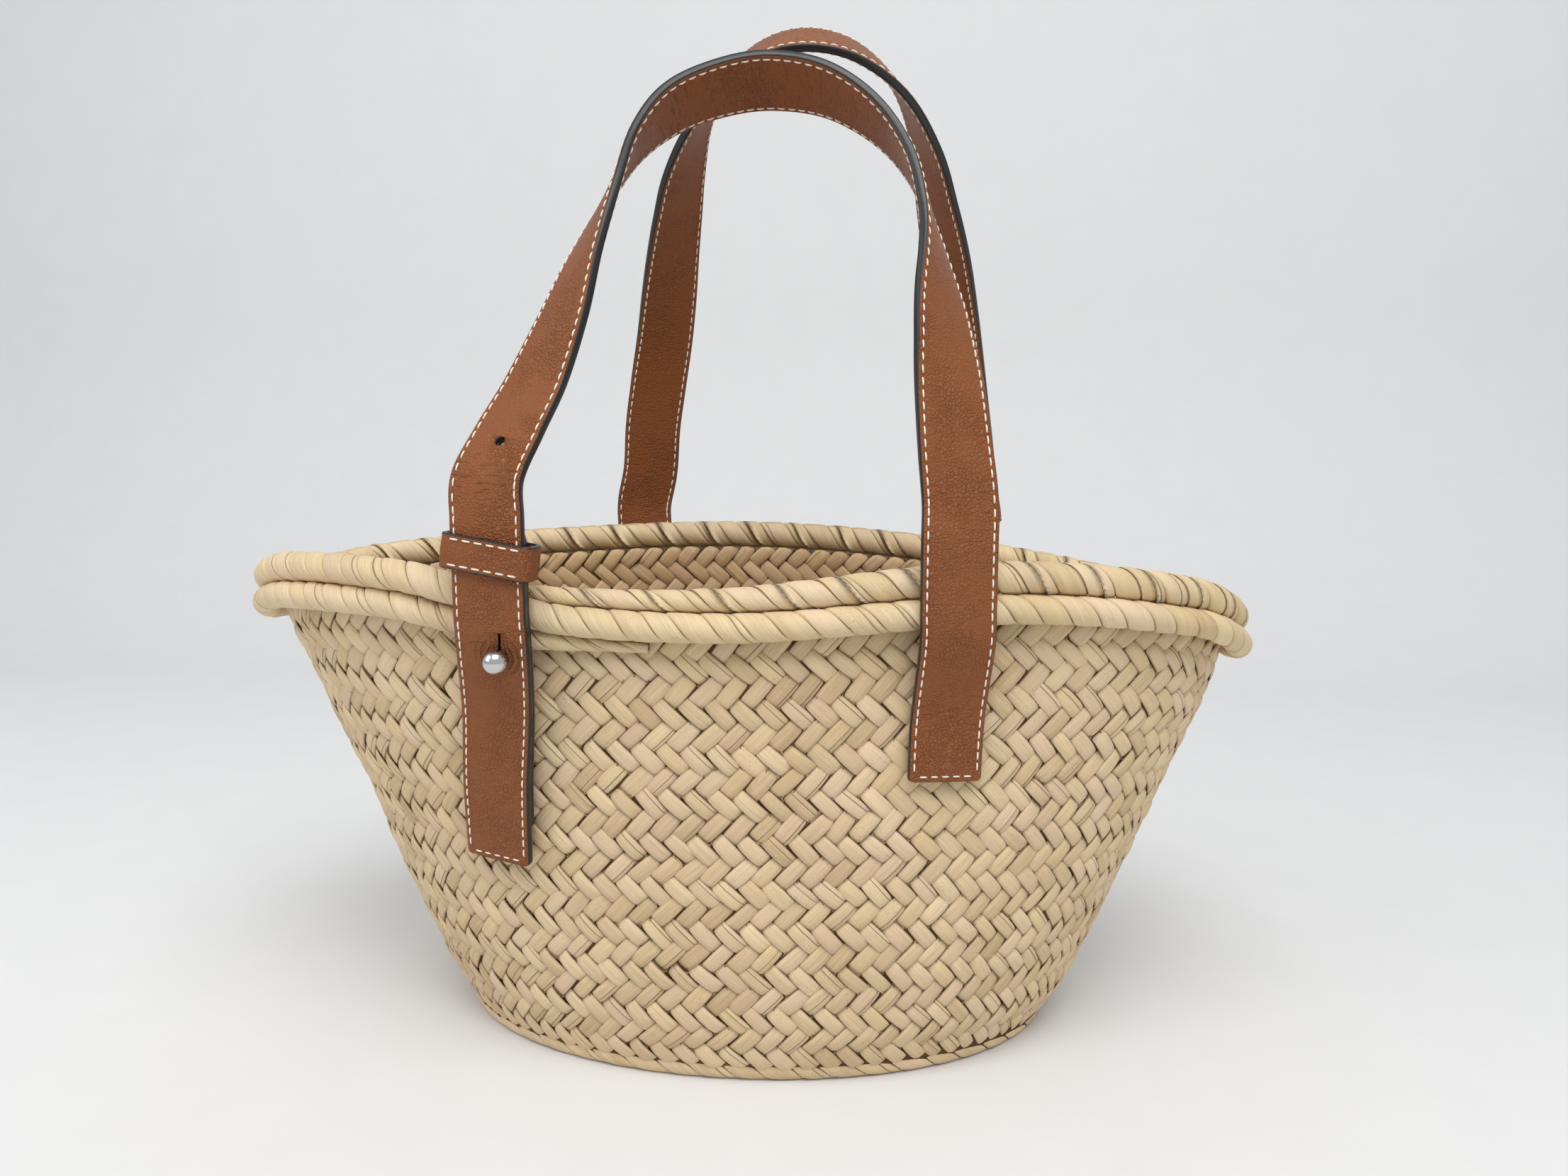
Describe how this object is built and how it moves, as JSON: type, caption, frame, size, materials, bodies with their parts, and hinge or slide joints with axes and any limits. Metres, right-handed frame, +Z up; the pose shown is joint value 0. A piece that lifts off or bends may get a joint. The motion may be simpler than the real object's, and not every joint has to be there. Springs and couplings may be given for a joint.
{
  "type": "straw basket bag",
  "caption": "Small open basket bag of woven palm with a wrapped rim and two flat leather handles, each buttoned to its tab with a ball stud.",
  "frame": {"origin": "centre of the oval bottom, on the surface that the bag stands on", "axes": "+X along the mouth to the right, +Y to the back, +Z up"},
  "size_m": [0.3757, 0.1932, 0.367],
  "materials": {
    "woven_palm": "flat plaited palm strips, matt with a faint sheen",
    "rim_palm": "palm strips wrapped into a roll, matt with a faint sheen",
    "strap_leather": "smooth tan calf leather with black painted edges and cream stitching",
    "stud_metal": "polished ball stud"
  },
  "bodies": {
    "root": {"basket_body": "woven_palm", "foot_braid": "woven_palm", "rim_roll": "rim_palm", "front_strap": "strap_leather", "front_anchor_tab": "strap_leather", "front_keeper": "strap_leather", "front_stud": "stud_metal", "rear_strap": "strap_leather", "rear_anchor_tab": "strap_leather", "rear_keeper": "strap_leather", "rear_stud": "stud_metal"}
  },
  "joints": []
}
